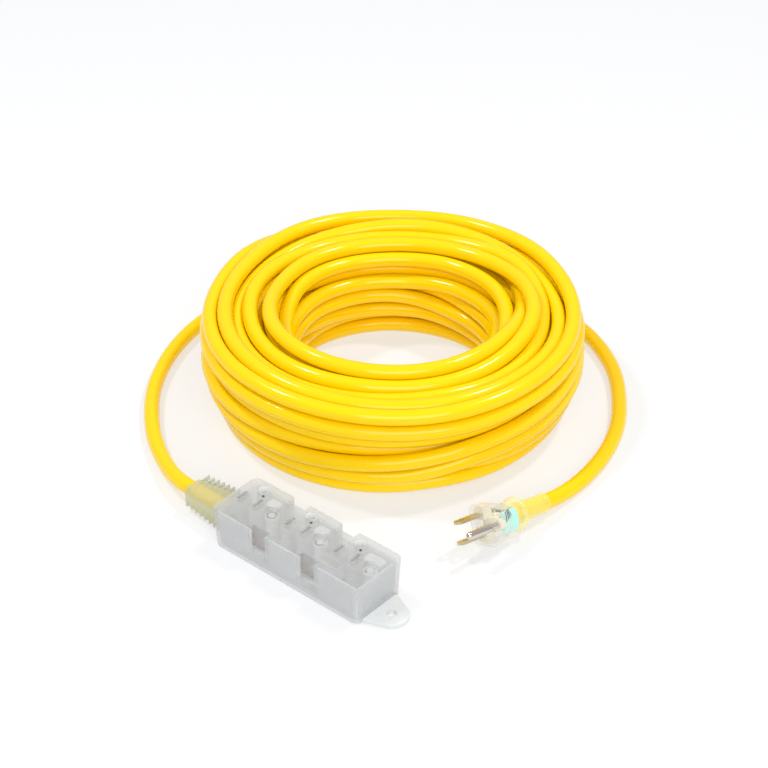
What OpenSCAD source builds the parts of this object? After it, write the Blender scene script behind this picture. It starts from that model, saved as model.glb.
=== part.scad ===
// Heavy-duty extension cord: a coiled three-core cable with a clear three-outlet
// block on one end and a clear grounded plug on the other. Millimetres, +Z up.
// The origin is the bottom centre of the outlet block, cable boot and tab included.

/* [Outlet block] */
// Length of the block housing, without cable boot and tab
block_len = 117; // [116:1:130]
// Width of the block housing
block_w = 40; // [40:0.5:46]
// Height of the block housing
block_h = 28; // [26:0.5:34]
// Thickness of the base plate and its mounting tab
base_h = 4; // [3:0.5:5]
// Side wall thickness of the clear cover
wall = 2.2; // [1.8:0.1:2.6]
// Thickness of the cover's outlet face
face_t = 3; // [2.5:0.1:4]
// Distance between outlets along the block
outlet_pitch = 39; // [38:0.5:40]
// Radius of the four upright corners
corner_r = 5; // [4:0.5:7]
// Width of the finger notches between the outlets
notch_w = 13; // [10:0.5:14]
// Depth of the finger notches
notch_d = 5; // [3:0.5:5]
// How far the mounting tab stands out
tab_len = 19; // [18:0.5:26]
// Diameter of the mounting tab's screw hole
tab_hole_d = 6; // [4:0.5:7]

/* [Cable boot of the block] */
// Length of the ribbed cable boot
boot_len = 31; // [26:1:40]
// Number of ribs on each side of the boot
rib_count = 8; // [5:1:9]

/* [Cord] */
// Outside diameter of the three-core cable
cord_d = 10.1; // [9.6:0.1:10.4]
// Height of the coil
coil_h = 70; // [55:1:75]
// Mean radius of the coil's turns
coil_r = 94.5; // [90:0.5:100]
// Width of the coil's bundle of turns at half height
bundle_w = 67; // [50:1:70]

/* [Plug] */
// Length of the blades in front of the plug's face
blade_len = 17.8; // [16:0.1:18.2]
// Length of the ground pin in front of the plug's face
pin_len = 20.5; // [19.6:0.1:21.4]
// Diameter of the ground pin
pin_d = 4.8; // [4.7:0.05:4.85]
// Length of the clear sleeve behind the plug's collar
sleeve_len = 24; // [20:1:40]

/* [Hidden] */
$fn = 48;

// --- grounded outlet and plug pattern, 15 A and 125 V ---
blade_gap = 12.7;
ground_offset = 11.9;
blade_w = 6.35;
blade_t = 1.5;
ground_hole_d = 5.8;
slot_w = 2.2;
slot_len = 8.2;

// --- block layout ---
block_x = (boot_len - tab_len) / 2;
half_len = block_len / 2;
half_w = block_w / 2;
outlet_shift = -7.5;
slot_y = 1.5;
outlets = [for (i = [-1:1]) outlet_shift + i * outlet_pitch];
ground_y = slot_y + ground_offset;
face_z = block_h - face_t;
fit_gap = 0.3;
notch_z = 17;
notch_shift = -1.5;
notch_x = [for (side = [-1, 1]) notch_shift + side * outlet_pitch / 2];
post_d = 7.5;
post_bore_d = 4.4;
post_shift = 18.3;
post_y = 1;
tab_r = 10.5;
tab_root_w = 30;
carrier_z = 7;
carrier_start = -half_len + 6;
bus_z = 5.4;
bus_t = 0.8;
bus_top = bus_z + bus_t;
bus_start = -half_len + 2.8;
contact_h = 14;
lamp_x = 25;
lamp_y = -7;
lamp_z = 19.5;

// --- cable boot ---
cord_r = cord_d / 2;
cord_z = 12;
boot_end = -half_len - boot_len;
boot_tip = [8, 7];
boot_root = [11, 8.4];
rib_tip = [10.4, 7];
rib_root = [12.8, 8.4];
rib_t = 1.4;
neck = [16, 13];
jacket_stop = -half_len - 1.5;
core_d = 3.6;
crimp_d = 4.2;

// --- plug layout, in the plug's own frame: +X to the tips, +Y to the ground pin ---
plug_at = [73.2, 83.5, 16.9];
plug_turn = [24, -9, 262];
blade_y = -4.5;
pin_y = blade_y + ground_offset;
head_len = 12;
pin_root_r = 2;
waist_x = -17;
waist_r = 9.2;
collar_x = -24;
collar_r = 11.4;
collar_t = 4;
sleeve_x = collar_x - collar_t;
sleeve_end = sleeve_x - sleeve_len;
plug_cavity_r = 7;
lens_x = [-23, -12];

// --- cord route on the floor, bends 100 mm and wider ---
coil_at = [-76, 173];
floor_z = cord_r;
block_route = [
    [boot_end + block_x, 0, cord_z],
    [-97, 1, 10.6],
    [-114, 6.5, 8],
    [-133, 16, 5.6],
    [-154, 29, floor_z],
    [-173, 45, floor_z],
    [-191, 64, floor_z],
    [-206, 86, floor_z],
    [-218, 111, floor_z],
    [-226, 139, floor_z],
    [-228, 167, floor_z],
    [-222, 194, floor_z],
    [-210, 216, floor_z],
    [-194, 235, floor_z],
    [-176, 249, floor_z],
    [-157, 258, floor_z]
];
plug_route = [
    [81.6, 159, floor_z],
    [80.5, 181, floor_z],
    [75, 207, floor_z],
    [64, 234, floor_z],
    [48, 258, floor_z],
    [28, 281, floor_z],
    [4, 299, floor_z],
    [-16, 309, floor_z],
    [-39, 315, floor_z],
    [-63, 315, 6.2],
    [-87, 308, 9.5],
    [-108, 297, 14.5],
    [-126, 282, 21]
];
tube_sides = 10;

// ---------- shared shapes ----------

// Upright plate with round corners, centred on the origin, standing on z = 0.
module rounded_plate(size_x, size_y, r, h) {
    linear_extrude(h) {
        square([size_x - 2 * r, size_y], center = true);
        square([size_x, size_y - 2 * r], center = true);
        for (sx = [-1, 1], sy = [-1, 1])
            translate([sx * (size_x / 2 - r), sy * (size_y / 2 - r)]) circle(r);
    }
}

// Cylinder along +X from x0 to x1.
module x_cylinder(x0, x1, r) {
    translate([x0, 0, 0]) rotate([0, 90, 0]) cylinder(r = r, h = x1 - x0);
}

function unit(v) = v / norm(v);

// Directions along a route: the ends use the given ones, the rest a central difference.
function tangents(route, first, last) = [
    for (i = [0:len(route) - 1])
        i == 0 ? unit(first)
        : i == len(route) - 1 ? unit(last)
        : unit(route[i + 1] - route[i - 1])
];

// One ring of tube corners about a point, square to the direction t.
function ring(p, t, r) =
    let (side = unit(cross(t, [0, 0, 1])), up = cross(side, t))
    [for (k = [0:tube_sides - 1])
        p + r * (cos(k * 360 / tube_sides + 90) * side - sin(k * 360 / tube_sides + 90) * up)];

// Closed tube swept along a route as one solid.
module tube(route, first, last, r) {
    dirs = tangents(route, first, last);
    n = len(route);
    corners = [for (i = [0:n - 1]) each ring(route[i], dirs[i], r)];
    sides = [
        for (i = [0:n - 2], k = [0:tube_sides - 1])
            let (a = i * tube_sides + k, b = i * tube_sides + (k + 1) % tube_sides)
            [a, b, b + tube_sides, a + tube_sides]
    ];
    start_cap = [for (k = [tube_sides - 1:-1:0]) k];
    end_cap = [for (k = [0:tube_sides - 1]) (n - 1) * tube_sides + k];
    polyhedron(points = corners, faces = concat([start_cap], sides, [end_cap]), convexity = 4);
}

// ---------- outlet block ----------

module in_block() {
    translate([block_x, 0, 0]) children();
}

// Finger notches in both long sides, with a round foot; grow makes the wall round them.
module notches(grow) {
    for (x = notch_x, side = [-1, 1]) {
        translate([x - notch_w / 2 - grow, side * half_w - notch_d - grow, notch_z])
            cube([notch_w + 2 * grow, 2 * (notch_d + grow), block_h]);
        translate([x - notch_w / 2 - grow, side * half_w, notch_z])
            rotate([0, 90, 0]) cylinder(r = notch_d + grow, h = notch_w + 2 * grow);
    }
}

module posts(d, z0, z1) {
    for (x = outlets)
        translate([x + post_shift, post_y, z0]) cylinder(d = d, h = z1 - z0);
}

module outlet_holes() {
    for (x = outlets) {
        for (side = [-1, 1])
            translate([x + side * blade_gap / 2 - slot_w / 2, slot_y - slot_len / 2, face_z - 1])
                cube([slot_w, slot_len, face_t + 2]);
        translate([x, ground_y, face_z - 1]) cylinder(d = ground_hole_d, h = face_t + 2);
    }
}

module outlet_cover() {
    ring_depth = 0.4;
    color([0.84, 0.87, 0.88, 0.55]) in_block() difference() {
        translate([0, 0, base_h]) rounded_plate(block_len, block_w, corner_r, block_h - base_h);
        difference() {
            translate([0, 0, base_h - 1])
                rounded_plate(block_len - 2 * wall, block_w - 2 * wall, corner_r - wall,
                              face_z - base_h + 1);
            notches(wall);
        }
        notches(0);
        outlet_holes();
        difference() {
            posts(post_d + 1, block_h - ring_depth, block_h + 1);
            posts(post_d - 1, block_h - ring_depth - 1, block_h + 2);
        }
        translate([-half_len - 1, -neck.x / 2, cord_z - neck.y / 2])
            cube([wall + 2, neck.x, neck.y]);
    }
}

module mounting_base() {
    post_floor = 8;
    tab_end = half_len + tab_len - tab_r;
    color([0.86, 0.89, 0.9, 0.6]) in_block() difference() {
        union() {
            rounded_plate(block_len, block_w, corner_r, base_h);
            posts(post_d, base_h, face_z);
            linear_extrude(base_h) {
                translate([tab_end, 0]) circle(tab_r);
                polygon([
                    [half_len - corner_r, -tab_root_w / 2], [half_len, -tab_root_w / 2],
                    [tab_end + tab_r * 0.45, -tab_r * 0.893],
                    [tab_end + tab_r * 0.45, tab_r * 0.893],
                    [half_len, tab_root_w / 2], [half_len - corner_r, tab_root_w / 2]
                ]);
            }
        }
        posts(post_bore_d, post_floor, face_z + 1);
        translate([tab_end, 0, -1]) cylinder(d = tab_hole_d, h = base_h + 2);
    }
}

// Clear inner tray: a chamber for each contact, open at the top under the outlet face.
module contact_carrier() {
    inner_w = block_w - 2 * wall - 2 * fit_gap;
    end_x = half_len - wall - fit_gap;
    chamber = [5.6, 8.6];
    color([0.9, 0.9, 0.86, 0.5]) in_block() difference() {
        translate([(carrier_start + end_x) / 2, 0, carrier_z])
            rounded_plate(end_x - carrier_start, inner_w, 2.5, face_z - fit_gap - carrier_z);
        notches(wall + fit_gap);
        posts(post_d + 0.6, carrier_z - 1, block_h);
        for (x = outlets) {
            for (side = [-1, 1])
                translate([x + side * blade_gap / 2 - chamber.x / 2, slot_y - chamber.y / 2, 0])
                    cube([chamber.x, chamber.y, block_h]);
            translate([x, ground_y, 0]) cylinder(d = 7, h = block_h);
        }
        translate([lamp_x - 7.5, lamp_y - 3, lamp_z - 4]) cube([15, 6, block_h]);
    }
}

// Pair of spring leaves that grips one blade, standing on z = 0 and centred on x = 0.
module blade_contact() {
    leaf = [[1.6, 0], [2.2, 0], [1.4, contact_h - 3], [2.4, contact_h], [1.8, contact_h],
            [0.75, contact_h - 3]];
    for (side = [0, 1])
        mirror([side, 0, 0])
            translate([0, 3, 0]) rotate([90, 0, 0]) linear_extrude(6) polygon(leaf);
}

// Copper strip from y0 to y1, measured from the slots' own line, with a tongue and spring
// leaves under every slot.
module blade_bus(side, y0, y1) {
    last_x = outlets[2] + side * blade_gap / 2 + 2.8;
    reach = [min(y0, -3.2), max(y1, 3.2)];
    in_block() {
        translate([bus_start, slot_y + y0, bus_z]) cube([last_x - bus_start, y1 - y0, bus_t]);
        for (x = outlets) translate([x + side * blade_gap / 2, slot_y, 0]) {
            translate([-2.8, reach[0], bus_z]) cube([5.6, reach[1] - reach[0], bus_t]);
            translate([0, 0, bus_top]) blade_contact();
        }
    }
}

module hot_bus() {
    color([0.74, 0.47, 0.3]) blade_bus(1, -9.5, -4.8);
}

module neutral_bus() {
    color([0.78, 0.56, 0.34]) blade_bus(-1, 5.2, 8.2);
}

module ground_bus() {
    strip_w = 4.6;
    sleeve_h = 13;
    color([0.76, 0.62, 0.34]) in_block() {
        translate([bus_start, ground_y - strip_w / 2, bus_z])
            cube([outlets[2] + strip_w / 2 - bus_start, strip_w, bus_t]);
        for (x = outlets) translate([x, ground_y, bus_z]) difference() {
            cylinder(r = 3.2, h = sleeve_h + bus_t);
            translate([0, 0, bus_t]) cylinder(r = 2.35, h = sleeve_h + 1);
            translate([-0.5, 0, bus_t]) cube([1, 5, sleeve_h + 1]);
        }
    }
}

// Where each core meets its bus: hot, neutral, ground.
bus_ends = [[bus_start + 0.6, slot_y - 7, bus_top + crimp_d / 2],
            [bus_start + 0.6, slot_y + 5.7, bus_top + crimp_d / 2 + 2.4],
            [bus_start + 0.6, ground_y, bus_top + crimp_d / 2]];
core_starts = [[jacket_stop, -2.3, 13.2], [jacket_stop, 1.4, 14.2], [jacket_stop, 1.9, 10.1]];

module bus_crimps() {
    color([0.8, 0.68, 0.4]) in_block() {
        for (end = bus_ends) translate(end) x_cylinder(0, 2.4, crimp_d / 2);
        translate([bus_start + 0.6, slot_y + 5.2, bus_top]) cube([2.4, 1, 2.6]);
    }
}

module core_lead(i) {
    route = [core_starts[i], core_starts[i] + [0.6, 0, 0], bus_ends[i] - [0.6, 0, 0], bus_ends[i]];
    in_block() tube(route, [1, 0, 0], [1, 0, 0], core_d / 2);
}

module block_hot_lead() {
    color([0.08, 0.08, 0.08]) core_lead(0);
}

module block_neutral_lead() {
    color([0.93, 0.93, 0.9]) core_lead(1);
}

module block_ground_lead() {
    color([0.1, 0.5, 0.2]) core_lead(2);
}

module block_lamp() {
    color([0.9, 0.5, 0.3]) in_block() translate([lamp_x, lamp_y, lamp_z]) {
        x_cylinder(-6, -1.5, 1.6);
        translate([-1.5, 0, 0]) sphere(r = 1.6);
    }
}

module block_resistor() {
    color([0.45, 0.36, 0.2]) in_block() translate([lamp_x, lamp_y, lamp_z]) {
        x_cylinder(1.2, 6, 1.1);
        x_cylinder(0.3, 7, 0.3);
    }
}

// ---------- ribbed boot on the block ----------

// Block that tapers from the tip size [y, z] to the root size, both half sizes.
module boot_taper(tip, root) {
    intersection() {
        linear_extrude(block_h)
            polygon([[boot_end, -tip.x], [-half_len, -root.x], [-half_len, root.x], [boot_end, tip.x]]);
        translate([0, half_w, cord_z]) rotate([90, 0, 0]) linear_extrude(block_w)
            polygon([[boot_end, -tip.y], [-half_len, -root.y], [-half_len, root.y], [boot_end, tip.y]]);
    }
}

module block_strain_relief() {
    rib_step = (boot_len - rib_t) / (rib_count - 1);
    color([0.85, 0.87, 0.78, 0.5]) in_block() difference() {
        union() {
            boot_taper(boot_tip, boot_root);
            intersection() {
                boot_taper(rib_tip, rib_root);
                for (i = [0:rib_count - 1])
                    translate([boot_end + i * rib_step, -half_w, 0]) cube([rib_t, block_w, block_h]);
            }
            translate([-half_len, -neck.x / 2, cord_z - neck.y / 2]) cube([wall, neck.x, neck.y]);
        }
        translate([0, 0, cord_z]) x_cylinder(boot_end - 1, -half_len + wall + 1, cord_r);
    }
}

module block_jacket_end() {
    color([0.98, 0.8, 0.05]) in_block()
        translate([0, 0, cord_z]) x_cylinder(boot_end, jacket_stop, cord_r);
}

// ---------- cord ----------

module cord_block_run() {
    color([0.98, 0.8, 0.05]) tube(block_route, [-1, 0, 0], [19, 7, 0], cord_r);
}

// Outline of the coil's bundle: a rounded box that is narrower at the floor.
function bundle_point(a) =
    let (
        squareness = 0.45,
        full = 0.9,
        u = sign(cos(a)) * pow(abs(cos(a)), squareness),
        v = sign(sin(a)) * pow(abs(sin(a)), squareness),
        taper = full - 0.1 * abs(v) + (v < 0 ? 0.14 : 0.02) * v
    )
    [coil_r + u * taper / full * bundle_w / 2, coil_h / 2 * (1 + v)];

module cord_coil() {
    color([0.98, 0.8, 0.05]) translate([coil_at.x, coil_at.y, 0])
        rotate_extrude() polygon([for (a = [0:12:348]) bundle_point(a)]);
}

module cord_plug_run() {
    plug_exit = plug_at + turned([sleeve_end, 0, 0]);
    route = concat([plug_exit], plug_route);
    color([0.98, 0.8, 0.05]) tube(route, -turned([1, 0, 0]), [-19, -15, 7], cord_r);
}

// ---------- plug ----------

// A vector of the plug's own frame turned into the part's frame.
function turned(v) =
    let (
        a = plug_turn.x, b = plug_turn.y, c = plug_turn.z,
        p = [v.x, v.y * cos(a) - v.z * sin(a), v.y * sin(a) + v.z * cos(a)],
        q = [p.x * cos(b) + p.z * sin(b), p.y, -p.x * sin(b) + p.z * cos(b)]
    )
    [q.x * cos(c) - q.y * sin(c), q.x * sin(c) + q.y * cos(c), q.z];

module in_plug() {
    translate(plug_at) rotate(plug_turn) children();
}

// Plate across the plug's axis, from x0 to x1, with its outline in the YZ plane.
module across(x0, x1) {
    translate([x0, 0, 0]) rotate([90, 0, 90]) linear_extrude(x1 - x0) children();
}

module head_outline() {
    polygon([[-11.5, -9.5], [-8.5, -12.8], [6, -12.8], [12.2, -7], [12.2, 7], [6, 12.8],
             [-8.5, 12.8], [-11.5, 9.5]]);
}

module blade_openings(extra) {
    for (side = [-1, 1])
        translate([-40, blade_y - blade_w / 2 - extra, side * blade_gap / 2 - blade_t / 2 - extra])
            cube([80, blade_w + 2 * extra, blade_t + 2 * extra]);
    translate([0, pin_y, 0]) x_cylinder(-40, 40, pin_root_r + extra);
}

// Arch that the tinted lens fills, on the ground pin's side of the waist.
module lens_arch(gap) {
    intersection() {
        difference() {
            x_cylinder(lens_x[0] - gap, lens_x[1] + gap, waist_r + 0.6);
            x_cylinder(lens_x[0] - 1, lens_x[1] + 1, 5.6 - gap);
        }
        translate([lens_x[0] - 1, 1.2 - gap, -8 - gap])
            cube([lens_x[1] - lens_x[0] + 2, 10, 16 + 2 * gap]);
    }
}

module plug_body() {
    front_t = 2;
    color([0.9, 0.93, 0.9, 0.4]) in_plug() difference() {
        union() {
            across(-head_len, 0) head_outline();
            translate([waist_x, 0, 0]) rotate([0, 90, 0])
                cylinder(r1 = waist_r, r2 = 11.6, h = -head_len - waist_x);
            x_cylinder(collar_x, waist_x, waist_r);
            x_cylinder(collar_x - collar_t, collar_x, collar_r);
        }
        x_cylinder(sleeve_x - 1, -head_len, plug_cavity_r);
        across(-head_len - 0.01, -front_t) polygon([[-10, -8.5], [-7.5, -11.3], [5, -11.3],
            [10.7, -6], [10.7, 6], [5, 11.3], [-7.5, 11.3], [-10, 8.5]]);
        intersection() {
            blade_openings(0.1);
            translate([-front_t - 1, -20, -20]) cube([10, 40, 40]);
        }
        lens_arch(0.1);
    }
}

// Ivory block that holds the blades and the pin behind the plug's clear face.
module plug_core() {
    core_front = -2.2;
    color([0.93, 0.9, 0.8]) in_plug() difference() {
        union() {
            across(-9, core_front) {
                polygon([[-9.7, 3], [-9.7, 8.3], [-7.4, 11], [-1, 11], [-1, 3]]);
                polygon([[-9.7, -3], [-9.7, -8.3], [-7.4, -11], [-1, -11], [-1, -3]]);
            }
            across(-9, -5) square([11, 8], center = true);
            across(-11.5, -9) square([10, 11], center = true);
            translate([0, pin_y, 0]) x_cylinder(-9, -5, 3.3);
        }
        blade_openings(0);
    }
}

module blade(side) {
    tip = 2;
    hole_x = 11.7;
    color([0.8, 0.66, 0.34]) in_plug()
        translate([0, blade_y, side * blade_gap / 2]) difference() {
            translate([0, 0, -blade_t / 2]) linear_extrude(blade_t) polygon([
                [-14, -1.8], [-9.5, -1.8], [-9.5, -blade_w / 2], [blade_len - tip, -blade_w / 2],
                [blade_len, -blade_w / 2 + tip], [blade_len, blade_w / 2 - tip],
                [blade_len - tip, blade_w / 2], [-9.5, blade_w / 2], [-9.5, 1.8], [-14, 1.8]
            ]);
            translate([hole_x, 0, -blade_t]) cylinder(d = 3.2, h = 2 * blade_t);
        }
}

module hot_blade() {
    blade(1);
}

module neutral_blade() {
    blade(-1);
}

module ground_pin() {
    r = pin_d / 2;
    color([0.75, 0.72, 0.68]) in_plug() translate([0, pin_y, 0]) {
        x_cylinder(-10, 0, pin_root_r);
        x_cylinder(0, pin_len - r, r);
        intersection() {
            translate([pin_len - r, 0, 0]) sphere(r = r);
            x_cylinder(pin_len - r - 0.01, pin_len, r + 1);
        }
    }
}

module plug_lens() {
    color([0.5, 0.93, 0.88, 0.7]) in_plug() lens_arch(0);
}

module plug_lamp() {
    color([0.85, 0.95, 0.9]) in_plug() translate([0, 3.4, 0]) {
        x_cylinder(-19.5, -14.5, 1.5);
        translate([-14.5, 0, 0]) sphere(r = 1.5);
    }
}

module plug_resistor() {
    color([0.35, 0.4, 0.42]) in_plug() translate([0, -0.6, -0.2]) {
        x_cylinder(-20, -14.5, 1.1);
        x_cylinder(-21, -13.5, 0.3);
    }
}

// Where the cores end on the blade tails and the pin: hot, neutral, ground.
tail_ends = [[-14.4, blade_y, blade_gap / 2 - 1.9], [-14.4, blade_y, -blade_gap / 2 + 1.9],
             [-12.6, pin_y - 1.2, 0]];
plug_core_starts = [[collar_x, -2.4, 2.3], [collar_x, -2.4, -2.3], [collar_x, 2.6, 0]];
plug_core_d = 2.2;

module plug_crimps() {
    color([0.8, 0.68, 0.4]) in_plug() {
        for (end = tail_ends) translate(end) x_cylinder(0, 2.6, 1.1);
    }
}

module plug_lead(i) {
    from = plug_core_starts[i];
    to = tail_ends[i];
    in_plug() tube([from, from + [1, 0, 0], to - [1, 0, 0], to], [1, 0, 0], [1, 0, 0], plug_core_d / 2);
}

module plug_hot_lead() {
    color([0.08, 0.08, 0.08]) plug_lead(0);
}

module plug_neutral_lead() {
    color([0.93, 0.93, 0.9]) plug_lead(1);
}

module plug_ground_lead() {
    color([0.1, 0.5, 0.2]) plug_lead(2);
}

module plug_jacket_end() {
    color([0.98, 0.8, 0.05]) in_plug() x_cylinder(sleeve_end, collar_x, cord_r);
}

// Clear sleeve that tapers along the cable behind the collar.
module plug_sleeve() {
    color([0.95, 0.88, 0.5, 0.5]) in_plug() rotate([0, 90, 0]) rotate_extrude() polygon([
        [cord_r, sleeve_end], [5.8, sleeve_end], [6.5, sleeve_x], [cord_r, sleeve_x]
    ]);
}

outlet_cover();
mounting_base();
contact_carrier();
hot_bus();
neutral_bus();
ground_bus();
bus_crimps();
block_hot_lead();
block_neutral_lead();
block_ground_lead();
block_lamp();
block_resistor();
block_jacket_end();
block_strain_relief();
cord_block_run();
cord_coil();
cord_plug_run();
plug_body();
plug_core();
hot_blade();
neutral_blade();
ground_pin();
plug_lens();
plug_lamp();
plug_resistor();
plug_crimps();
plug_hot_lead();
plug_neutral_lead();
plug_ground_lead();
plug_jacket_end();
plug_sleeve();
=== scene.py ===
"""Looks of a heavy-duty extension cord: a loose coil of yellow cable, a clear outlet block, a clear plug.

Lengths are written in millimetres in the part's frame, and turned into metres when a piece is finished.
"""
import math

import bmesh
import bpy
import numpy as np
from mathutils import Matrix, Vector


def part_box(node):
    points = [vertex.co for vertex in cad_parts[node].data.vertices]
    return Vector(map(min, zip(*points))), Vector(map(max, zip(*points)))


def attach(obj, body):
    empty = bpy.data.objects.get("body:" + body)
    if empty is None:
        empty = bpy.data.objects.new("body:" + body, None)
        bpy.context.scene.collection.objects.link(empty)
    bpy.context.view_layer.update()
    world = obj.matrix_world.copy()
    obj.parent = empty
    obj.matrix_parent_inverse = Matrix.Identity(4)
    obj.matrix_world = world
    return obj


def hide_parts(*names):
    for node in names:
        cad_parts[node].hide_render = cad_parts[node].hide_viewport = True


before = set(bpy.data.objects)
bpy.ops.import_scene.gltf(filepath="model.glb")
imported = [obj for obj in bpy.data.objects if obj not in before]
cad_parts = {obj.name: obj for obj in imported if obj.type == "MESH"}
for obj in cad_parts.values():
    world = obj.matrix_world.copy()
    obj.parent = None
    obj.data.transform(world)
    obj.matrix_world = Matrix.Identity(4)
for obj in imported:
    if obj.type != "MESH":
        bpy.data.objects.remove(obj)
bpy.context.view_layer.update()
MM = 0.001
BODY = "root"

# ---------------------------------------------------------------- sizes, in millimetres

CORD_D = 10.1
CORD_R = CORD_D / 2
COIL_AT = (-76, 173)

# Route on the floor, from the block to the coil and from the plug to the coil.
BLOCK_ROUTE = [
    (-83.5, 0, 12), (-97, 1, 10.6), (-114, 6.5, 8), (-133, 16, 5.6), (-154, 29, CORD_R),
    (-173, 45, CORD_R), (-191, 64, CORD_R), (-206, 86, CORD_R), (-218, 111, CORD_R),
    (-226, 139, CORD_R), (-228, 167, CORD_R), (-222, 194, CORD_R), (-210, 216, CORD_R),
    (-194, 235, CORD_R), (-176, 249, CORD_R), (-157, 258, CORD_R),
]
PLUG_ROUTE = [
    (81.6, 159, CORD_R), (80.5, 181, CORD_R), (75, 207, CORD_R), (64, 234, CORD_R),
    (48, 258, CORD_R), (28, 281, CORD_R), (4, 299, CORD_R), (-16, 309, CORD_R),
    (-39, 315, CORD_R), (-63, 315, 6.2), (-87, 308, 9.5),
]

# Coil: its turns, the stations of a turn, the route points that its ends are joined from, and the
# (angle, radius, height) that the two ends pass at its back.
TURNS = 37
STATIONS = 96
BLOCK_JOIN = 9
PLUG_JOIN = 5
ENTRY = [(122, 111, CORD_R), (108, 107.5, CORD_R), (94, 106, CORD_R)]
PEEL = [
    (200, 118, 70), (182, 120, 66), (164, 124, 58), (147, 129, 46), (130, 133, 32),
    (112, 134.5, 19),
]

# How the turns lie: seed, distance of two strands, how far a turn is thrown off, steps of settling.
LAY_SEED = 7
LAY_GAP = 1.03 * CORD_D
OFF_CENTRE = 10
OUT_OF_LEVEL = 9
SETTLE_STEPS = 500

# Plug: its place, and its own frame with +X to the tips and +Y to the ground pin.
PLUG_AT = (73.2, 83.5, 16.9)
PLUG_TURN = (24, -9, 262)
SLEEVE_END = -52
BLADE_GAP = 12.7

# Block: places are seen from its own centre, and heights from the floor.
OUTLETS = (-46.5, -7.5, 31.5)
NOTCHES = (-21, 18)
SLOT_Y = 1.5
SLOT_SIZE = (2.2, 8.2)
GROUND_Y = 13.4
GROUND_R = 3.5
POSTS = tuple(x + 18.3 for x in OUTLETS)
POST_Y = 1
POST_R = 3.75
POST_BORE_R = 2.2
TAB_TOP = 3
TAB_R = 10.5
TAB_REACH = 8.5
TAB_ROOT_W = 30
TAB_HOLE_R = 3
NOTCH_W = 13
NOTCH_D = 5
NOTCH_FOOT = 17
WALL = 2.2
FACE = 25
TRAY_TOP = 24.5
BOOT_LENGTH = 35
BOOT_FINS = 9
BOOT_Z = 12


def box_mm(node):
    """Low and high corner of a CAD node, in millimetres."""
    low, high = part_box(node)
    return low / MM, high / MM


COVER_LOW, COVER_HIGH = box_mm("outlet_cover")
BOOT_TIP = box_mm("block_strain_relief")[0].x - 4
BLOCK_X = (COVER_LOW.x + COVER_HIGH.x) / 2
BLOCK_LEN = COVER_HIGH.x - COVER_LOW.x
BLOCK_W = COVER_HIGH.y - COVER_LOW.y
HALF_LEN = BLOCK_LEN / 2
HALF_W = BLOCK_W / 2
BLOCK_TOP = COVER_HIGH.z
BASE_TOP = COVER_LOW.z
BLOCK = Matrix.Translation((BLOCK_X, 0, 0))
PLUG = (
    Matrix.Translation(PLUG_AT)
    @ Matrix.Rotation(math.radians(PLUG_TURN[2]), 4, "Z")
    @ Matrix.Rotation(math.radians(PLUG_TURN[1]), 4, "Y")
    @ Matrix.Rotation(math.radians(PLUG_TURN[0]), 4, "X")
)

# ---------------------------------------------------------------- camera

CAMERA_AT = Vector((674.8, -699.1, 797.1))
CAMERA_FORWARD = Vector((-0.5407, 0.6220, -0.5664))
CAMERA_LENS = 98.44


def make_camera():
    """Camera in front of the part, to its right and above it."""
    data = bpy.data.cameras.new("camera")
    data.lens = CAMERA_LENS
    data.sensor_width = 36
    data.clip_end = 20
    camera = bpy.data.objects.new("camera", data)
    bpy.context.scene.collection.objects.link(camera)
    right = CAMERA_FORWARD.cross(Vector((0, 0, 1))).normalized()
    up = right.cross(CAMERA_FORWARD).normalized()
    turn = Matrix((right, up, -CAMERA_FORWARD.normalized())).transposed()
    camera.matrix_world = Matrix.Translation(CAMERA_AT * MM) @ turn.to_4x4()
    bpy.context.scene.camera = camera


make_camera()

# ---------------------------------------------------------------- materials


def new_material(name, color, roughness, metallic=0.0, **inputs):
    """Principled material; inputs are the shader's other sockets by name, with _ for a space."""
    material = bpy.data.materials.new(name)
    material.use_nodes = True
    shader = material.node_tree.nodes["Principled BSDF"]
    shader.inputs["Base Color"].default_value = (*color, 1)
    shader.inputs["Roughness"].default_value = roughness
    shader.inputs["Metallic"].default_value = metallic
    for key, value in inputs.items():
        shader.inputs[key.replace("_", " ")].default_value = value
    return material


def add_noise(material, scale, detail=4.0, stretch=(1, 1, 1)):
    """Noise in the part's own coordinates; returns its output socket."""
    tree = material.node_tree
    place = tree.nodes.new("ShaderNodeTexCoord")
    mapping = tree.nodes.new("ShaderNodeMapping")
    mapping.inputs["Scale"].default_value = stretch
    noise = tree.nodes.new("ShaderNodeTexNoise")
    noise.inputs["Scale"].default_value = scale
    noise.inputs["Detail"].default_value = detail
    tree.links.new(place.outputs["Object"], mapping.inputs["Vector"])
    tree.links.new(mapping.outputs["Vector"], noise.inputs["Vector"])
    return noise.outputs["Fac"]


def vary(material, fac, socket, low, high):
    """Drives a socket of the shader between two values or colours with a factor."""
    tree = material.node_tree
    shader = tree.nodes["Principled BSDF"]
    if isinstance(low, tuple):
        mix = tree.nodes.new("ShaderNodeMix")
        mix.data_type = "RGBA"
        ends = [i for i in mix.inputs if i.type == "RGBA"]
        ends[0].default_value = (*low, 1)
        ends[1].default_value = (*high, 1)
        tree.links.new(fac, mix.inputs[0])
        result = [o for o in mix.outputs if o.type == "RGBA"][0]
    else:
        ramp = tree.nodes.new("ShaderNodeMapRange")
        ramp.inputs["From Min"].default_value = 0.3
        ramp.inputs["From Max"].default_value = 0.7
        ramp.inputs["To Min"].default_value = low
        ramp.inputs["To Max"].default_value = high
        tree.links.new(fac, ramp.inputs["Value"])
        result = ramp.outputs["Result"]
    tree.links.new(result, shader.inputs[socket])


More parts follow.
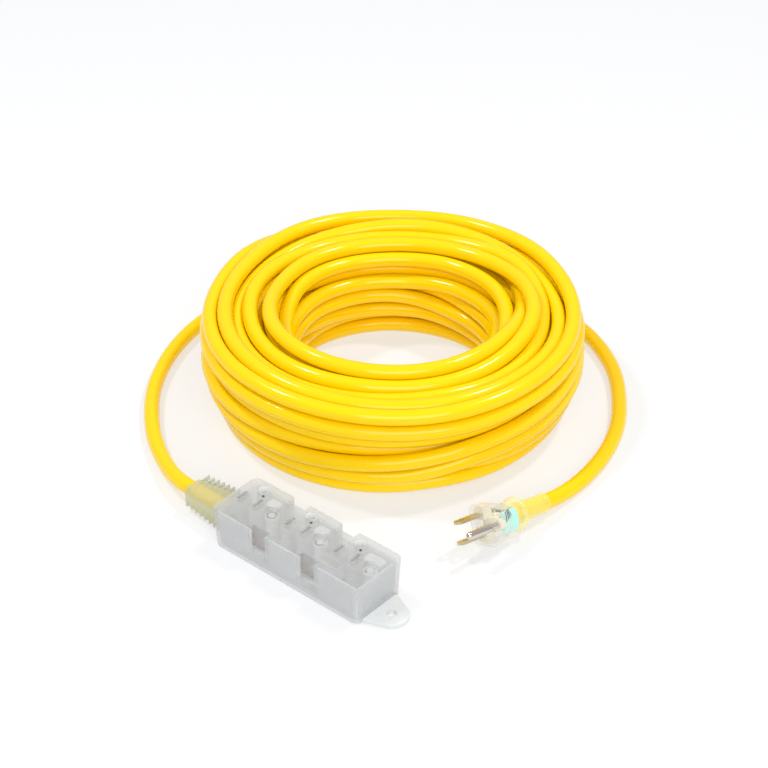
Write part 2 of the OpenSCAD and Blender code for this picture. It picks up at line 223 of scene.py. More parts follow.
def add_bump(material, fac, height_mm, strength=1.0):
    """Bump of a given height from a factor."""
    tree = material.node_tree
    bump = tree.nodes.new("ShaderNodeBump")
    bump.inputs["Strength"].default_value = strength
    bump.inputs["Distance"].default_value = height_mm * MM
    tree.links.new(fac, bump.inputs["Height"])
    tree.links.new(bump.outputs["Normal"], tree.nodes["Principled BSDF"].inputs["Normal"])


def jacket_material():
    """Yellow PVC: a soft gloss, faint mottling and the fine grain of an extruded jacket."""
    m = new_material("yellow_pvc", (0.97, 0.65, 0.0), 0.14, Specular_IOR_Level=0.34)
    vary(m, add_noise(m, 35), "Base Color", (0.95, 0.63, 0.0), (0.99, 0.67, 0.001))
    vary(m, add_noise(m, 180), "Roughness", 0.11, 0.17)
    add_bump(m, add_noise(m, 900, 3), 0.003)
    return m


def glass_material(name, color, roughness):
    """Tinted glass, not quite even in its gloss."""
    m = new_material(name, color, roughness, Transmission_Weight=0.6, IOR=1.5)
    vary(m, add_noise(m, 260), "Roughness", 0.8 * roughness, 1.25 * roughness)
    add_bump(m, add_noise(m, 1200, 3), 0.005)
    return m


def film_material(name, color, roughness, facing, edge):
    """Thin clear PVC: see-through where it faces the eye, milky at its edges."""
    m = new_material(name, color, roughness)
    tree = m.node_tree
    layer = tree.nodes.new("ShaderNodeLayerWeight")
    layer.inputs["Blend"].default_value = 0.5
    ramp = tree.nodes.new("ShaderNodeMapRange")
    ramp.inputs["To Min"].default_value = facing
    ramp.inputs["To Max"].default_value = edge
    tree.links.new(layer.outputs["Facing"], ramp.inputs["Value"])
    tree.links.new(ramp.outputs["Result"], tree.nodes["Principled BSDF"].inputs["Alpha"])
    vary(m, add_noise(m, 300), "Roughness", 0.7 * roughness, 1.3 * roughness)
    return m


def painted_glow_material(name, color, roughness, glow):
    """White moulding inside a clear housing, with a painted glow: a white emission lifts it as the light
    that comes through the housing would.
    """
    m = plastic_material(name, color, roughness)
    shader = m.node_tree.nodes["Principled BSDF"]
    # Painted glow: a faint white emission stands in for the light through the clear cover.
    shader.inputs["Emission Color"].default_value = (1, 1, 1, 1)
    shader.inputs["Emission Strength"].default_value = glow
    return m


def metal_material(name, color, roughness, scale=(4, 4, 40)):
    """Drawn metal with fine streaks and darker patches."""
    m = new_material(name, color, roughness, metallic=1.0)
    streaks = add_noise(m, 220, 5, scale)
    vary(m, streaks, "Roughness", 0.7 * roughness, 1.5 * roughness)
    dark = tuple(0.82 * c for c in color)
    vary(m, add_noise(m, 90), "Base Color", dark, color)
    add_bump(m, streaks, 0.01, 0.5)
    return m


def plastic_material(name, color, roughness):
    """Solid moulded plastic, slightly mottled."""
    m = new_material(name, color, roughness)
    dark = tuple(0.85 * c for c in color)
    vary(m, add_noise(m, 150), "Base Color", dark, color)
    vary(m, add_noise(m, 400), "Roughness", 0.8 * roughness, 1.2 * roughness)
    add_bump(m, add_noise(m, 1500, 3), 0.01)
    return m


YELLOW = jacket_material()
COVER_PVC = film_material("frosted_pvc", (0.64, 0.655, 0.655), 0.22, 0.22, 0.62)
BASE_PVC = plastic_material("base_pvc", (0.78, 0.80, 0.80), 0.25)
TRAY_PVC = film_material("tray_pvc", (0.84, 0.85, 0.84), 0.15, 0.26, 0.65)
PANEL_PVC = film_material("panel_pvc", (0.94, 0.95, 0.96), 0.2, 0.5, 0.7)
# White inner moulding with a painted glow for the light that comes through the cover.
WHITE_PVC_PAINTED_GLOW = painted_glow_material("white_pvc_painted_glow", (0.84, 0.85, 0.84), 0.25, 0.06)
BOOT_PVC = film_material("boot_pvc", (0.62, 0.63, 0.36), 0.15, 0.42, 0.85)
FIN_PVC = film_material("fin_pvc", (0.70, 0.73, 0.66), 0.15, 0.5, 0.9)
PLUG_PVC = film_material("plug_pvc", (0.86, 0.85, 0.80), 0.06, 0.1, 0.6)
COLLAR_PVC = film_material("collar_pvc", (0.96, 0.92, 0.42), 0.08, 0.25, 0.75)
SLEEVE_PVC = film_material("sleeve_pvc", (0.98, 0.93, 0.30), 0.08, 0.2, 0.85)
LENS_PVC = film_material("mint_lens", (0.52, 0.97, 0.86), 0.12, 0.8, 0.95)
COPPER = metal_material("copper", (0.80, 0.56, 0.44), 0.35)
CONTACT_BRASS = metal_material("contact_brass", (0.72, 0.56, 0.28), 0.3)
BLADE_BRASS = metal_material("blade_brass", (0.70, 0.65, 0.42), 0.25, (40, 40, 4))
PIN_METAL = metal_material("pin_nickel", (0.76, 0.69, 0.64), 0.16, (40, 40, 4))
IVORY = plastic_material("ivory", (0.90, 0.84, 0.64), 0.4)
BLACK = plastic_material("black_insulation", (0.02, 0.02, 0.02), 0.35)
WHITE = plastic_material("white_insulation", (0.85, 0.85, 0.83), 0.35)
GREEN = plastic_material("green_insulation", (0.03, 0.26, 0.08), 0.35)
LAMP = glass_material("lamp_glass", (0.95, 0.78, 0.62), 0.1)
RESISTOR = plastic_material("resistor", (0.16, 0.15, 0.13), 0.4)
# Dark plastic for the lens ribs, and painted shade for the dots beside the ground holes.
RIB_DARK_AND_SHADE = plastic_material("dark_ribs_and_painted_shade", (0.05, 0.055, 0.06), 0.35)

# ---------------------------------------------------------------- mesh tools


def make_object(name, bm, place=Matrix()):
    """Mesh object from a bmesh, put at its place; both are in millimetres."""
    mesh = bpy.data.meshes.new(name)
    bmesh.ops.recalc_face_normals(bm, faces=bm.faces)
    bm.to_mesh(mesh)
    bm.free()
    mesh.transform(place)
    obj = bpy.data.objects.new(name, mesh)
    bpy.context.scene.collection.objects.link(obj)
    return obj


def apply_modifiers(obj):
    """Turns what the modifiers make into the object's own mesh."""
    graph = bpy.context.evaluated_depsgraph_get()
    mesh = bpy.data.meshes.new_from_object(obj.evaluated_get(graph))
    obj.modifiers.clear()
    obj.data = mesh


def boolean(target, cutter, operation="DIFFERENCE"):
    """Cuts target with cutter, or joins them, and removes the cutter."""
    modifier = target.modifiers.new("boolean", "BOOLEAN")
    modifier.object = cutter
    modifier.operation = operation
    modifier.solver = "EXACT"
    modifier.use_self = False
    apply_modifiers(target)
    bpy.data.objects.remove(cutter)


def bevel(target, width, segments=3, angle=35):
    """Rounds the edges sharper than the angle."""
    modifier = target.modifiers.new("bevel", "BEVEL")
    modifier.width = width
    modifier.segments = segments
    modifier.limit_method = "ANGLE"
    modifier.angle_limit = math.radians(angle)
    modifier.use_clamp_overlap = True
    apply_modifiers(target)


def loft(rings, closed_ends=True):
    """bmesh skin over rings of the same number of points, each a list of (x, y, z)."""
    bm = bmesh.new()
    rows = [[bm.verts.new(p) for p in ring] for ring in rings]
    count = len(rows[0])
    for low, high in zip(rows, rows[1:]):
        for i in range(count):
            j = (i + 1) % count
            bm.faces.new((low[i], low[j], high[j], high[i]))
    if closed_ends:
        bm.faces.new(rows[0][::-1])
        bm.faces.new(rows[-1])
    return bm


def prism(outline, z0, z1):
    """Upright solid over an outline, from z0 to z1."""
    return loft([[(x, y, z) for x, y in outline] for z in (z0, z1)])


def rounded_rect(size_x, size_y, radius, steps=8):
    """Outline of a rounded rectangle about the origin."""
    points = []
    for corner, (sx, sy) in enumerate(((1, 1), (-1, 1), (-1, -1), (1, -1))):
        cx, cy = sx * (size_x / 2 - radius), sy * (size_y / 2 - radius)
        for k in range(steps + 1):
            a = math.radians(90 * (corner + k / steps))
            points.append((cx + radius * math.cos(a), cy + radius * math.sin(a)))
    return points


def circle(x, y, radius, steps=32):
    """Outline of a circle about (x, y)."""
    angles = [2 * math.pi * k / steps for k in range(steps)]
    return [(x + radius * math.cos(a), y + radius * math.sin(a)) for a in angles]


def along_x(profile, steps=48):
    """Rings about the X axis for a list of (x, radius)."""
    angles = [2 * math.pi * k / steps for k in range(steps)]
    return [[(x, r * math.cos(a), r * math.sin(a)) for a in angles] for x, r in profile]


def finish_piece(obj, material, slot, *nodes, smooth=35):
    """Scales a piece from millimetres to metres, shades it and hands it to the frame."""
    obj.data.transform(Matrix.Scale(MM, 4))
    obj.data.materials.clear()
    obj.data.materials.append(material)
    for polygon in obj.data.polygons:
        polygon.use_smooth = True
    obj.data.set_sharp_from_angle(angle=math.radians(smooth))
    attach(obj, BODY)
    if nodes:
        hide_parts(*nodes)
    return obj


# ---------------------------------------------------------------- cord


def wall_radii(z):
    """Inner and outer radius that the strands' centres keep to at height z: narrower at the floor."""
    u = np.clip(z / 70, 0, 1)
    outer = 111 + 15 * np.clip(u / 0.45, 0, 1) ** 0.7 - 5 * np.clip(4 * u - 3, 0, 1) ** 2
    inner = 75 - 11 * np.clip(u / 0.4, 0, 1) ** 0.8 + 12 * np.clip((u - 0.7) / 0.3, 0, 1) ** 1.5
    return inner + CORD_R, outer - CORD_R


def resting_places():
    """A place (radius, height) for each turn, in rows from the floor up, each row wound back."""
    places, z, outward = [], CORD_R, False
    while len(places) < TURNS:
        low, high = wall_radii(np.array(z))
        count = min(int((high - low) / CORD_D + 1), TURNS - len(places))
        row = np.linspace(low, high, count)
        top = len(places) + count == TURNS
        places += [(r, z) for r in (row if outward or top else row[::-1])]
        outward = not outward
        z += 0.93 * CORD_D
    return np.array(places)


def gaussian(sigma):
    """Weights of a normal curve that add up to one."""
    x = np.arange(-int(3 * sigma), int(3 * sigma) + 1)
    weights = np.exp(-0.5 * (x / sigma) ** 2)
    return weights / weights.sum()


def smoothed(values, weights):
    """Weighted mean of each value and its neighbours, straight on past the ends."""
    padded = np.pad(values, len(weights) // 2, mode="reflect", reflect_type="odd")
    return np.convolve(padded, weights, "valid")


def hermite(x, knots, values, slopes=None):
    """Smooth curve through the values at the knots, taken at x."""
    if slopes is None:
        slopes = np.gradient(values, knots, axis=0)
    i = np.clip(np.searchsorted(knots, x, side="right") - 1, 0, len(knots) - 2)
    h = knots[i + 1] - knots[i]
    t = np.clip((x - knots[i]) / h, 0, 1)
    if values.ndim > 1:
        t, h = t[:, None], h[:, None]
    return (
        (1 + 2 * t) * (1 - t) ** 2 * values[i]
        + t * (1 - t) ** 2 * h * slopes[i]
        + t * t * (3 - 2 * t) * values[i + 1]
        + t * t * (t - 1) * h * slopes[i + 1]
    )


def polar(points):
    """Angle, radius and height of points about the coil's centre, the angle falling along the cord."""
    p = np.array(points, float)
    x, y = p[:, 0] - COIL_AT[0], p[:, 1] - COIL_AT[1]
    return np.stack([np.degrees(np.unwrap(np.arctan2(y, x))), np.hypot(x, y), p[:, 2]])


def lead_in():
    """Angle, radius and height of the cable that runs in under the coil, and the angle it comes at."""
    came = polar(BLOCK_ROUTE[BLOCK_JOIN:])
    came[0] += 360 * round((ENTRY[0][0] - came[0, -1]) / 360)
    return np.hstack([came, np.array(ENTRY, float).T]), came[0, -1]


def lead_out():
    """Angle, radius and height of the cable that comes off the top and goes on to the plug."""
    went = polar(PLUG_ROUTE[:PLUG_JOIN:-1])
    went[0] += 360 * round((PEEL[-1][0] - went[0, 0]) / 360)
    return np.hstack([np.array(PEEL, float).T, went])


def lay_turns(n, turned):
    """Radius and height of every station before the turns settle: off centre and out of level."""
    rng = np.random.default_rng(LAY_SEED)
    place = resting_places()
    r = np.full(n.shape, place[0, 0])
    z = np.full(n.shape, place[0, 1])
    shift = 0.5 + 0.45 * np.sin(2 * np.cumsum(rng.normal(0, 0.2, TURNS)))
    for i in range(1, TURNS):
        at = (i + shift[i] + 0.5) * STATIONS
        moved = 0.5 + 0.5 * np.tanh((n - at) / (0.11 * STATIONS))
        r += moved * (place[i, 0] - place[i - 1, 0])
        z += moved * (place[i, 1] - place[i - 1, 1])
    knots = np.arange(TURNS + 3) * STATIONS
    for field, size in ((r, OFF_CENTRE), (z, OUT_OF_LEVEL)):
        phase = rng.uniform(0, 2 * np.pi, len(knots))
        amount = size * rng.uniform(0.1, 1, len(knots))
        field += np.interp(n, knots, amount * np.cos(phase)) * np.cos(turned)
        field += np.interp(n, knots, amount * np.sin(phase)) * np.sin(turned)
    return r, z


def contact(r, z, apart):
    """How far each station is pushed in r and z by the strands that are too near."""
    rows = TURNS + 2
    grid_r, grid_z = (r + apart).reshape(rows, -1), z.reshape(rows, -1)
    dr, dz = grid_r[:, None] - grid_r[None], grid_z[:, None] - grid_z[None]
    gap = np.sqrt(dr * dr + dz * dz) + 1e-6
    touching = (gap < LAY_GAP) & ~np.eye(rows, dtype=bool)[:, :, None]
    force = np.where(touching, 0.5 * (LAY_GAP - gap) / gap, 0)
    share = np.maximum(1, 0.5 * touching.sum(1))
    return ((force * dr).sum(1) / share).ravel(), ((force * dz).sum(1) / share).ravel()


def settle(r, z, wish, hold, free, inside, cut):
    """Sinks the turns on each other in place, a diameter apart and as smooth as a stiff cable.

    The stations marked free move, and those inside stay between the coil's walls and near their
    wished radius. hold is how firmly a station keeps to its first place, and cut is the cord's part.
    """
    bend, spread = gaussian(3), gaussian(2)
    first_r, first_z = r.copy(), z.copy()
    n = np.arange(len(r))
    used = (n >= cut.start) & (n < cut.stop)
    apart = np.where(used, 0, 500 + 50 * (n // STATIONS))
    for i in range(SETTLE_STEPS):
        if i < 0.75 * SETTLE_STEPS:
            z -= 0.25 * free
            r += 0.02 * (wish - r) * inside
        r += hold * (first_r - r)
        z += hold * (first_z - z)
        stiffness = 0.35 if i < 0.85 * SETTLE_STEPS else 0.2
        for field in (r, z):
            field[cut] += stiffness * (smoothed(field[cut], bend) - field[cut]) * free[cut]
        for _ in range(2):
            for field, push in zip((r, z), contact(r, z, apart)):
                field[cut] += 1.2 * smoothed(push[cut], spread) * free[cut]
            low, high = wall_radii(z)
            r += 0.5 * inside * (np.clip(r, low, high) - r)
            z[free] = np.maximum(z[free], CORD_R)


def wind_coil():
    """Centreline of the coil, in millimetres.

    A turn has STATIONS points, and the strands meet each other in the plane of each station. One
    turn more before and after the coil gives room for the ends, which join the routes.
    """
    step = 360 / STATIONS
    n = np.arange((TURNS + 2) * STATIONS)
    came, start_angle = lead_in()
    went = lead_out()
    n_came = STATIONS + (start_angle - came[0]) / step
    n_went = (TURNS + 1) * STATIONS + (start_angle - went[0]) / step
    free = (n > STATIONS) & (n < n_went[len(PEEL)])
    peeling = free & (n >= n_went[0])

    turned = np.radians(start_angle - step * (n - STATIONS))
    r, z = lay_turns(n, turned)
    wish = r.copy()
    blend = np.clip((n - STATIONS) / 16, 0, 1)
    blend = blend * blend * (3 - 2 * blend)
    for field, k in ((r, 1), (z, 2)):
        lead = hermite(n, n_came, came[k])
        field += (1 - blend) * (lead - field)
        tail = hermite(n, n_went, went[k])
        field[n >= n_went[0]] = tail[n >= n_went[0]]
    hold = 0.4 * np.clip((n - n_went[0]) / (n_went[2] - n_went[0]), 0, 1) * peeling
    cut = slice(math.ceil(n_came[0]), int(n_went[-1]) + 1)
    settle(r, z, wish, hold, free, free & ~peeling, cut)
    line = np.stack([COIL_AT[0] + r * np.cos(turned), COIL_AT[1] + r * np.sin(turned), z], 1)
    return line[STATIONS : math.ceil(n_went[len(PEEL)])]


def route_line(points, start, end, spacing=5.0):
    """Dense points on a smooth curve through a route, with its end directions given."""
    p = np.array(points, float)
    knots = np.r_[0, np.cumsum(np.linalg.norm(np.diff(p, axis=0), axis=1))]
    slopes = np.gradient(p, knots, axis=0)
    slopes[0] = np.array(start) / np.linalg.norm(start)
    slopes[-1] = np.array(end) / np.linalg.norm(end)
    x = np.linspace(0, knots[-1], int(knots[-1] / spacing) + 1)
    return hermite(x, knots, p, slopes)


def cord_line():
    """Centreline of the whole cord, from the block to the plug."""
    coil = wind_coil()
    plug_axis = (PLUG.to_3x3() @ Vector((1, 0, 0)))[:]
    plug_exit = (PLUG @ Vector((SLEEVE_END, 0, 0)))[:]
    into = route_line(BLOCK_ROUTE, (-1, 0, 0), coil[1] - coil[0])
    out = route_line([*PLUG_ROUTE[::-1], plug_exit], coil[-1] - coil[-2], plug_axis)
    line = np.vstack([into[:-1], coil, out[1:]])
    ends = line[[0, -1]].copy()
    weights = gaussian(1.5)
    line = np.stack([smoothed(line[:, k], weights) for k in range(3)], 1)
    line[[0, -1]] = ends
    return line


def make_cord():
    """The cord as one open curve with a round section."""
    line = cord_line()
    curve = bpy.data.curves.new("cord", "CURVE")
    curve.dimensions = "3D"
    curve.bevel_depth = CORD_R * MM
    curve.bevel_resolution = 7
    curve.use_fill_caps = True
    spline = curve.splines.new("POLY")
    spline.points.add(len(line) - 1)
    flat = np.hstack([line * MM, np.ones((len(line), 1))]).ravel()
    spline.points.foreach_set("co", flat)
    spline.use_smooth = True
    curve.materials.append(YELLOW)
    cord = bpy.data.objects.new("cord", curve)
    bpy.context.scene.collection.objects.link(cord)
    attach(cord, BODY)
    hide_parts("cord_block_run", "cord_coil", "cord_plug_run")
    return cord


cord = make_cord()

# ---------------------------------------------------------------- outlet block


def plate_rings(levels, radius):
    """Rings of rounded rectangles, each level a (z, length, width)."""
    return [[(x, y, z) for x, y in rounded_rect(l, w, radius)] for z, l, w in levels]


def notch_cutters(grow):
    """A cutter for each finger notch, with a round foot; grow makes the wall round it."""
    depth = NOTCH_D + grow
    arc = [math.radians(180 + 90 * k / 8) for k in range(9)]
    foot = [(HALF_W + depth * math.cos(a), NOTCH_FOOT + depth * math.sin(a)) for a in arc]
    section = [(HALF_W + 9, 40), (HALF_W - depth, 40), *foot, (HALF_W + 9, NOTCH_FOOT - depth)]
    cutters = []
    for x in NOTCHES:
        ends = (x - NOTCH_W / 2 - grow, x + NOTCH_W / 2 + grow)
        for side in (-1, 1):
            bm = loft([[(end, side * y, z) for y, z in section] for end in ends])
            cutters.append(make_object("cutter", bm))
    return cutters


def tapered_cutter(outline, flare):
    """Cutter through the outlet face, with a mouth that opens out by flare."""
    cx = sum(x for x, y in outline) / len(outline)
    cy = sum(y for x, y in outline) / len(outline)
    wide = [
        (x + flare * (x > cx) - flare * (x < cx), y + flare * (y > cy) - flare * (y < cy))
        for x, y in outline
    ]
    levels = ((FACE - 2, outline), (BLOCK_TOP - flare, outline), (BLOCK_TOP + 0.1, wide))
    return make_object("cutter", loft([[(x, y, z) for x, y in ring] for z, ring in levels]))


def shifted(outline, dx, dy):
    """The outline moved by (dx, dy)."""
    return [(x + dx, y + dy) for x, y in outline]


def hollow_box():
    """Drafted box with a rounded rim and finger notches, hollow and open below."""
    outside = (
        (0.2, BLOCK_LEN - 1.6, BLOCK_W - 1.2),
        (BLOCK_TOP, BLOCK_LEN + 1.4, BLOCK_W + 0.6),
    )
    inside = (
        (-1, BLOCK_LEN - 1.7 - 2 * WALL, BLOCK_W - 1.3 - 2 * WALL),
        (FACE, BLOCK_LEN + 1 - 2 * WALL, BLOCK_W + 0.4 - 2 * WALL),
    )
    box = make_object("block_shell", loft(plate_rings(outside, 5)))
    for cutter in notch_cutters(0):
        boolean(box, cutter)
    bevel(box, 1.1, 4)
    cavity = make_object("cavity", loft(plate_rings(inside, 3)))
    for cutter in notch_cutters(WALL):
        boolean(cavity, cutter)
    boolean(box, cavity)
    return box


def make_shell():
    """Frosted cover: slots, ground holes and grooves in its face, gaps for the boot and the tab."""
    shell = hollow_box()
    slot = rounded_rect(*SLOT_SIZE, 0.3, 2)
    for x in OUTLETS:
        for side in (-1, 1):
            boolean(shell, tapered_cutter(shifted(slot, x + side * BLADE_GAP / 2, SLOT_Y), 0.4))
        boolean(shell, tapered_cutter(circle(x, GROUND_Y, GROUND_R), 0.3))
    for x in POSTS:
        groove = ring_prism(circle(x, POST_Y, 4.25), circle(x, POST_Y, 3.4), BLOCK_TOP - 0.5, 29)
        boolean(shell, make_object("cutter", groove))
    neck = [(-HALF_LEN - 2, y, z + BOOT_Z) for y, z in rounded_rect(16, 13, 3)]
    neck_end = [(-HALF_LEN + WALL + 2, y, z) for x, y, z in neck]
    boolean(shell, make_object("cutter", loft([neck, neck_end])))
    tab_slot = shifted(rounded_rect(8, TAB_ROOT_W + 0.4, 0.2, 1), HALF_LEN, 0)
    boolean(shell, make_object("cutter", prism(tab_slot, -1, TAB_TOP + 0.1)))
    shell.data.transform(BLOCK)
    return finish_piece(shell, COVER_PVC, "clear_cover", "outlet_cover")


def ring_prism(outer, inner, z0, z1):
    """Upright wall between two outlines of the same number of points."""
    bm = bmesh.new()
    rows = [
        [bm.verts.new((x, y, z)) for x, y in outline]
        for outline, z in ((outer, z0), (outer, z1), (inner, z1), (inner, z0))
    ]
    count = len(outer)
    for low, high in zip(rows, rows[1:] + rows[:1]):
        for i in range(count):
            j = (i + 1) % count
            bm.faces.new((low[i], low[j], high[j], high[i]))
    return bm


def join_meshes(name, parts):
    """One object from several bmeshes."""
    objects = [make_object(name, part) for part in parts]
    with bpy.context.temp_override(active_object=objects[0], selected_editable_objects=objects):
        bpy.ops.object.join()
    objects[0].name = name
    return objects[0]


def tab_outline():
    """Half-round tab with straight flanks that meet the block's end wall."""
    centre, root = HALF_LEN + TAB_REACH, TAB_ROOT_W / 2
    inner, outer = HALF_LEN - 6, HALF_LEN - 0.6
    lean = math.radians(27)
    angles = [-math.pi / 2 + lean + (math.pi - 2 * lean) * k / 24 for k in range(25)]
    rim = [(centre + TAB_R * math.cos(a), TAB_R * math.sin(a)) for a in angles]
    return [(inner, -root), (outer, -root), *rim, (outer, root), (inner, root)]


def make_base():
    """Base plate with its mounting tab and the hollow screw posts under the face."""
    length, width = BLOCK_LEN - 2.1 - 2 * WALL, BLOCK_W - 1.7 - 2 * WALL
    levels = ((0, length - 1.2, width - 1.2), (0.6, length, width), (BASE_TOP, length, width))
    base = make_object("block_base", loft(plate_rings(levels, 3)))
    tab = make_object("tab", prism(tab_outline(), 0, TAB_TOP))
    bevel(tab, 0.7, 3, 50)
    boolean(base, tab, "UNION")
    hole = make_object("cutter", prism(circle(HALF_LEN + TAB_REACH, 0, TAB_HOLE_R), -1, BASE_TOP + 1))
    boolean(base, hole)
    posts = []
    for x in POSTS:
        outline, bore = circle(x, POST_Y, POST_R), circle(x, POST_Y, POST_BORE_R)
        posts.append(ring_prism(outline, bore, BASE_TOP - 0.01, FACE))
    towers = join_meshes("towers", posts)
    with bpy.context.temp_override(active_object=base, selected_editable_objects=[base, towers]):
        bpy.ops.object.join()
    base.data.transform(BLOCK)
    return finish_piece(base, BASE_PVC, "clear_base", "mounting_base")


def make_tray():
    """Thin-walled inner moulding: chambers for the blade contacts and a lamp trough."""
    outer, inner = rounded_rect(7.4, 10.6, 1.2, 3), rounded_rect(5.6, 8.8, 0.6, 3)
    walls = []
    for x in OUTLETS:
        for side in (-1, 1):
            place = (x + side * BLADE_GAP / 2, SLOT_Y)
            walls.append(ring_prism(shifted(outer, *place), shifted(inner, *place), 7, 24.7))
    low, high = box_mm("block_lamp")
    centre = ((low.x + high.x) / 2 - BLOCK_X + 4, (low.y + high.y) / 2)
    trough = [shifted(rounded_rect(w, h, 1, 3), *centre) for w, h in ((17, 7), (15.4, 5.4))]
    walls.append(ring_prism(*trough, 15, 24))
    tray = join_meshes("block_tray", walls)
    tray.data.transform(BLOCK)
    return finish_piece(tray, TRAY_PVC, "clear_carrier", "contact_carrier")


def make_panels():
    """Milky walls of the inner moulding behind the cover's sides, open at the notches."""
    behind, foot = 3.4, BASE_TOP + 0.5
    edges = [x + side * (NOTCH_W / 2 + 0.6) for x in NOTCHES for side in (-1, 1)]
    edges = [-HALF_LEN + 3, *edges, HALF_LEN - 3]
    end_wall = shifted(rounded_rect(1, 31, 0.3, 2), HALF_LEN - behind, 0)
    walls = [prism(end_wall, foot, TRAY_TOP)]
    for start, end in zip(edges[::2], edges[1::2]):
        for y in (-HALF_W + behind, HALF_W - behind):
            wall = shifted(rounded_rect(end - start, 1, 0.3, 2), (start + end) / 2, y)
            walls.append(prism(wall, foot, TRAY_TOP))
    sides = join_meshes("tray_sides", walls)
    sides.data.transform(BLOCK)
    return finish_piece(sides, PANEL_PVC, "clear_carrier")


def make_ground_tubes():
    """White inner moulding: tubes in the ground holes, caps and rings on the posts, and pads."""
    levels = ((3.45, 20), (3.45, 27.7), (3.3, 27.7), (2.9, TRAY_TOP), (2.9, 20))
    pad_start, pad_y, pad_w = 7, 10.5, 7
    parts = []
    for x in OUTLETS:
        rows = [[(u, v, z) for u, v in circle(x, GROUND_Y, r)] for r, z in levels]
        parts.append(loft([*rows, rows[0]], closed_ends=False))
    for x in POSTS:
        parts.append(prism(circle(x, POST_Y, POST_BORE_R), 22.5, 24.6))
        parts.append(ring_prism(circle(x, POST_Y, 4.3), circle(x, POST_Y, 3.7), 23.6, 24.8))
    for x, pad_end in zip(OUTLETS, (15.5, 15.5, 20)):
        pad = rounded_rect(pad_end - pad_start, pad_w, 1.5, 4)
        parts.append(prism(shifted(pad, x + (pad_start + pad_end) / 2, pad_y), 22.6, 24.4))
    tubes = join_meshes("ground_tubes", parts)
    tubes.data.transform(BLOCK)
    # The white moulding carries a painted glow for the light that comes through the cover.
    return finish_piece(tubes, WHITE_PVC_PAINTED_GLOW, "clear_carrier")


def make_painted_shade_dots():
    """Painted shade: dark dots flush with the face beside each ground hole, standing in for the dark
    depth of the hole seen through the clear cover.
    """
    dots = [prism(circle(x + 4.4, 8.3, 0.8, 16), 27.3, BLOCK_TOP + 0.05) for x in OUTLETS]
    tips = join_meshes("painted_shade_dots", dots)
    tips.data.transform(BLOCK)
    return finish_piece(tips, RIB_DARK_AND_SHADE, "contact_brass")


def boot_ring(x):
    """Ring of the boot's flat-sided sleeve, which grows from its tip to the block."""
    t = (x - BOOT_TIP) / BOOT_LENGTH
    front, rear = -7.8 - 3 * t, 5.8 + 3 * t
    low, high = 4 - 2.4 * t, 17.6 + 2.4 * t
    outline = shifted(rounded_rect(rear - front, high - low, 2.6, 6), (front + rear) / 2, 0)
    return [(x, y, z + (low + high) / 2) for y, z in outline]


def make_boot():
    """Clear sleeve of the cable boot with the neck that enters the block."""
    root = BOOT_TIP + BOOT_LENGTH
    parts = [loft([boot_ring(BOOT_TIP + k * BOOT_LENGTH / 4) for k in range(5)])]
    neck = rounded_rect(15.8, 12.8, 3)
    parts.append(loft([[(x, y, z + BOOT_Z) for y, z in neck] for x in (root, root + 5)]))
    boot = join_meshes("block_boot", parts)
    return finish_piece(boot, BOOT_PVC, "clear_boot", "block_strain_relief")


def make_fins():
    """Comb of thin fins on the boot: long ones behind, short teeth along its front foot."""
    thick, parts = 0.8, []
    for k in range(BOOT_FINS):
        t = k / (BOOT_FINS - 1)
        x = BOOT_TIP + t * (BOOT_LENGTH - thick)
        fin = ((4, 13.2 + 0.6 * t), (7, 16.2 + 2.6 * t))
        tooth = ((-8 - 3 * t, -5), (3.6 - 2.4 * t, 6))
        for (y0, y1), (z0, z1) in (fin, tooth):
            outline = shifted(rounded_rect(y1 - y0, z1 - z0, 0.7, 3), (y0 + y1) / 2, (z0 + z1) / 2)
            parts.append(loft([[(end, y, z) for y, z in outline] for end in (x, x + thick)]))
    fins = join_meshes("boot_fins", parts)
    return finish_piece(fins, FIN_PVC, "clear_boot")


make_shell()
make_base()
make_tray()
make_panels()
make_ground_tubes()
# Painted shade: dark dots for the depth of the ground holes.
make_painted_shade_dots()
make_boot()
make_fins()

# ---------------------------------------------------------------- plug

# Outline of the head across the plug's axis, as (y, z): its corners are cut off, those on the
# ground pin's side the most.
HEAD = [
    (-11.5, -9.5), (-8.5, -12.8), (6, -12.8), (12.2, -7), (12.2, 7), (6, 12.8), (-8.5, 12.8),
    (-11.5, 9.5),
]

# Stations of the plug's clear shell: x, inset from the head's outline, roundness, waist radius.
SHELL = [
    (0, 0.9, 0, 10.4), (-0.3, 0.3, 0, 10.4), (-0.9, 0, 0, 10.4), (-2.2, 0, 0, 10.4),
    (-2.8, 0.2, 0, 10.4), (-3, 0.8, 0, 10.4), (-7, 0.8, 0, 10.4), (-9, 0.9, 0.1, 10.4),
    (-11.6, 1.1, 0.35, 10.4), (-13.5, 1.6, 0.8, 10), (-15.5, 2, 1, 9.7), (-18, 2, 1, 9.4),
]


def head_reach(angle):
    """Distance from the plug's axis to the head's outline in a direction."""
    dy, dz = math.cos(angle), math.sin(angle)
    best = 0
    for (y0, z0), (y1, z1) in zip(HEAD, HEAD[1:] + HEAD[:1]):
        ey, ez = y1 - y0, z1 - z0
        turn = dy * ez - dz * ey
        if abs(turn) > 1e-9:
            reach = (y0 * ez - z0 * ey) / turn
            along = (y0 * dz - z0 * dy) / turn
            if reach > 0 and -1e-6 <= along <= 1 + 1e-6:
                best = max(best, reach)
    return best


def head_ring(x, inset, roundness, radius, steps=96):
    """Ring of the plug's body between the head's outline and a circle."""
    ring = []
    for k in range(steps):
        a = 2 * math.pi * k / steps
        near = [head_reach(a + math.radians(d)) for d in (-3, 0, 3)]
        reach = (sum(near) / 3 - inset) * (1 - roundness) + radius * roundness
        ring.append((x, reach * math.cos(a), reach * math.sin(a)))
    return ring


def make_plug_shell():
    """Clear head with a front flange, narrowing to a round waist."""
    shell = make_object("plug_shell", loft([head_ring(*station) for station in SHELL]), PLUG)
    return finish_piece(shell, PLUG_PVC, "clear_plug", "plug_body", smooth=30)


